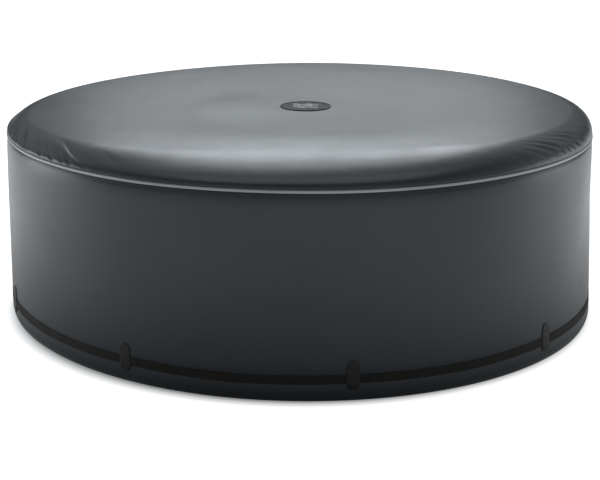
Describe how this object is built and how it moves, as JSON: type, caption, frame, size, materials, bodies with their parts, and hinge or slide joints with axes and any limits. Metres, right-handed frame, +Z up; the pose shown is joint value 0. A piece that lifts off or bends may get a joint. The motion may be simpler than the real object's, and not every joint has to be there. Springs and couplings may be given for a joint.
{
  "type": "inflatable hot tub",
  "caption": "Round inflatable hot tub with built-in filter, pump, heater and air blower, closed by a full-height padded cover with a belted skirt",
  "frame": {"origin": "middle of the tub's base, on the ground", "axes": "+Z up along the tub's axis, +Y towards the built-in power unit at the back, +X to the right seen from the front"},
  "size_m": [2.0491, 2.0465, 0.704],
  "materials": {
    "cover_cloth": "satin",
    "lining": "matte",
    "piping": "satin",
    "webbing": "matte",
    "buckle_plastic": "satin",
    "badge_base": "satin",
    "badge_mark": "satin",
    "bladder_film": "satin",
    "tub_outer_skin": "satin",
    "tub_inner_skin": "satin",
    "tub_base_skin": "matte",
    "pad_skin": "matte",
    "beam_skin": "matte",
    "valve_plastic": "satin",
    "casing_plastic": "satin",
    "bezel_plastic": "gloss",
    "display": "gloss",
    "button_plastic": "satin",
    "circuit_board": "satin",
    "filter_paper": "matte",
    "port_plastic": "satin",
    "pump_plastic": "satin",
    "rotor_plastic": "satin",
    "steel": "satin",
    "pipe_plastic": "satin",
    "rubber_gland": "matte"
  },
  "bodies": {
    "tub": {"tub_outer_wall": "tub_outer_skin", "tub_inner_wall": "tub_inner_skin", "tub_top_band": "tub_inner_skin", "rim_weld_beads": "tub_outer_skin", "tub_base_sheet": "tub_base_skin", "pool_floor": "pad_skin", "unit_bay_liner": "beam_skin", "wall_tension_beams": "beam_skin", "bubble_channel": "tub_inner_skin", "air_jets": "port_plastic", "drain_fitting": "valve_plastic", "inflation_valve_body": "valve_plastic", "unit_outer_casing": "casing_plastic", "unit_pool_casing": "casing_plastic", "unit_deck": "casing_plastic", "casing_screws": "steel", "control_bezel": "bezel_plastic", "display_window": "display", "control_board": "circuit_board", "filter_housing": "port_plastic", "outlet_socket": "port_plastic", "pump_casing": "pump_plastic", "heater_tube": "steel", "heater_element": "steel", "blower_casing": "pump_plastic", "internal_pipes": "pipe_plastic", "power_cord_gland": "rubber_gland"},
    "cover": {"cover_top_panel": "cover_cloth", "cover_skirt": "cover_cloth", "cover_piping": "piping", "lid_liner": "lining", "bladder_top_sheet": "bladder_film", "bladder_bottom_sheet": "bladder_film", "bladder_valve_body": "valve_plastic", "badge_plate": "badge_base", "badge_waves": "badge_mark", "cover_hem_tape": "webbing", "hem_strap": "webbing", "strap_loops": "cover_cloth", "buckle_socket": "buckle_plastic", "buckle_plug": "buckle_plastic"},
    "buckle_tab_upper": {"buckle_prong_upper": "buckle_plastic"},
    "buckle_tab_lower": {"buckle_prong_lower": "buckle_plastic"},
    "lid_valve_cap": {"bladder_valve_cap": "valve_plastic"},
    "cap_of_inflation_valve": {"inflation_valve_cap": "valve_plastic"},
    "core_of_inflation_valve": {"inflation_valve_core": "valve_plastic"},
    "outer_drain_cap": {"drain_cap_outer": "valve_plastic"},
    "inner_drain_cap": {"drain_cap_inner": "valve_plastic"},
    "cartridge": {"filter_cartridge": "filter_paper"},
    "cartridge_cap": {"filter_cap": "port_plastic"},
    "nozzle": {"outlet_nozzle": "port_plastic"},
    "pump_wheel": {"pump_rotor": "rotor_plastic"},
    "blower_wheel": {"blower_rotor": "rotor_plastic"},
    "key_power": {"button_power": "button_plastic"},
    "key_filter": {"button_filter": "button_plastic"},
    "key_heater": {"button_heater": "button_plastic"},
    "key_warmer": {"button_warmer": "button_plastic"},
    "key_cooler": {"button_cooler": "button_plastic"},
    "key_bubbles": {"button_bubbles": "button_plastic"}
  },
  "joints": [
    {"name": "cover_lift", "type": "slide", "parent": "tub", "child": "cover", "axis": [0, 0, 1], "range_m": [0, 0.68]},
    {"name": "upper_tab_squeeze", "type": "hinge", "parent": "cover", "child": "buckle_tab_upper", "pos_m": [0.52479, 0.87593, 0.085], "axis": [-0.515, -0.8572, 0], "range_deg": [0, 9], "stiffness_Nm_per_rad": 0.05},
    {"name": "lower_tab_squeeze", "type": "hinge", "parent": "cover", "child": "buckle_tab_lower", "pos_m": [0.52479, 0.87593, 0.065], "axis": [0.515, 0.8572, 0], "range_deg": [0, 9], "stiffness_Nm_per_rad": 0.05},
    {"name": "lid_valve_cap_turn", "type": "hinge", "parent": "cover", "child": "lid_valve_cap", "pos_m": [0, -0.64, 0.63], "axis": [0, 0, -1], "range_deg": [0, 180]},
    {"name": "inflation_cap_turn", "type": "hinge", "parent": "tub", "child": "cap_of_inflation_valve", "pos_m": [0.68178, 0.57208, 0.639], "axis": [0, 0, 1], "range_deg": [0, 180]},
    {"name": "inflation_core_press", "type": "slide", "parent": "tub", "child": "core_of_inflation_valve", "axis": [0, 0, -1], "range_m": [0, 0.005], "stiffness_N_per_m": 400},
    {"name": "outer_drain_cap_turn", "type": "hinge", "parent": "tub", "child": "outer_drain_cap", "pos_m": [-0.8617, 0.4975, 0.112], "axis": [-0.866, 0.5, 0], "range_deg": [0, 180]},
    {"name": "inner_drain_cap_turn", "type": "hinge", "parent": "tub", "child": "inner_drain_cap", "pos_m": [-0.67983, 0.3925, 0.112], "axis": [0.866, -0.5, 0], "range_deg": [0, 180]},
    {"name": "cartridge_draw", "type": "slide", "parent": "tub", "child": "cartridge", "axis": [0, -1, 0], "range_m": [0, 0.2]},
    {"name": "cartridge_cap_turn", "type": "hinge", "parent": "cartridge", "child": "cartridge_cap", "pos_m": [-0.12, 0.74, 0.33], "axis": [0, -1, 0], "range_deg": [0, 90]},
    {"name": "nozzle_swing", "type": "hinge", "parent": "tub", "child": "nozzle", "pos_m": [0.12, 0.766, 0.33], "axis": [0, 0, 1], "range_deg": [-12, 12]},
    {"name": "pump_spin", "type": "hinge", "parent": "tub", "child": "pump_wheel", "pos_m": [0, 0.835, 0.49], "axis": [1, 0, 0], "continuous": true},
    {"name": "blower_spin", "type": "hinge", "parent": "tub", "child": "blower_wheel", "pos_m": [0.14, 0.905, 0.27], "axis": [0, 0, 1], "continuous": true},
    {"name": "power_press", "type": "slide", "parent": "tub", "child": "key_power", "axis": [0, 0, -1], "range_m": [0, 0.0012], "stiffness_N_per_m": 400},
    {"name": "filter_press", "type": "slide", "parent": "tub", "child": "key_filter", "axis": [0, 0, -1], "range_m": [0, 0.0012], "stiffness_N_per_m": 400},
    {"name": "heater_press", "type": "slide", "parent": "tub", "child": "key_heater", "axis": [0, 0, -1], "range_m": [0, 0.0012], "stiffness_N_per_m": 400},
    {"name": "warmer_press", "type": "slide", "parent": "tub", "child": "key_warmer", "axis": [0, 0, -1], "range_m": [0, 0.0012], "stiffness_N_per_m": 400},
    {"name": "cooler_press", "type": "slide", "parent": "tub", "child": "key_cooler", "axis": [0, 0, -1], "range_m": [0, 0.0012], "stiffness_N_per_m": 400},
    {"name": "bubbles_press", "type": "slide", "parent": "tub", "child": "key_bubbles", "axis": [0, 0, -1], "range_m": [0, 0.0012], "stiffness_N_per_m": 400}
  ],
  "couplings": [
    {"joint": "lower_tab_squeeze", "follows": "upper_tab_squeeze", "ratio": 1}
  ]
}
